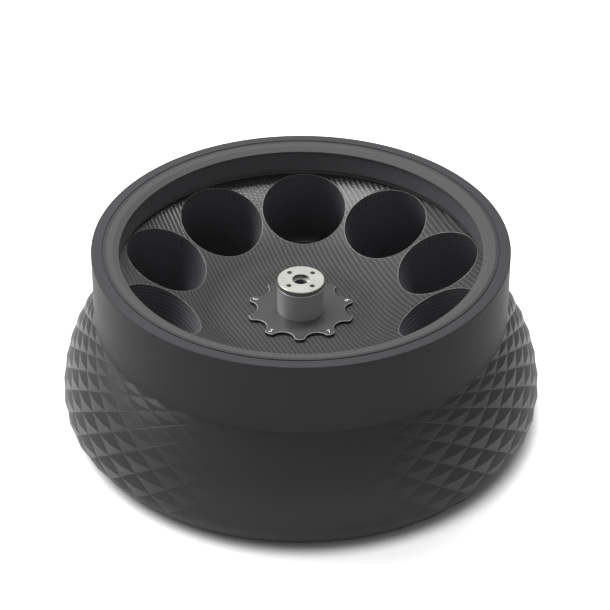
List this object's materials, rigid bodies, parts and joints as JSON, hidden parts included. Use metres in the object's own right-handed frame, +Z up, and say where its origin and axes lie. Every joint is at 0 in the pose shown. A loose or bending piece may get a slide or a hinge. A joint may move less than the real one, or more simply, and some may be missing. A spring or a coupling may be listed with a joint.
{
  "type": "fixed angle rotor",
  "caption": "Fixed angle rotor with tilted bottle wells in a recessed sloping deck, a plain collar, a fibre-wound skirt with a diamond relief, and a central metal hub for spindle and lid.",
  "frame": {"origin": "centre of the underside, on the spin axis", "axes": "+Z up along the spin axis; one well lies along +Y; the skirt's plain patch faces -Y"},
  "size_m": [0.552, 0.5519, 0.2223],
  "materials": {
    "moulded_composite": "satin, with a fine diagonal weave",
    "wound_composite": "satin, wound fibre",
    "anodised_metal": "dark satin anodised",
    "bright_metal": "fine turned",
    "screw_steel": "satin"
  },
  "bodies": {
    "root": {"collar": "moulded_composite", "deck": "moulded_composite", "wound_skirt": "wound_composite", "pressure_plate": "moulded_composite", "drive_hub": "anodised_metal", "drive_pins": "screw_steel", "hub_screws": "screw_steel", "scalloped_plate": "anodised_metal", "hub_post": "anodised_metal", "hub_cap": "bright_metal", "cap_screws": "screw_steel", "well_1": "wound_composite", "well_2": "wound_composite", "well_3": "wound_composite", "well_4": "wound_composite", "well_5": "wound_composite", "well_6": "wound_composite", "well_7": "wound_composite", "well_8": "wound_composite", "well_9": "wound_composite", "well_10": "wound_composite"}
  },
  "joints": []
}
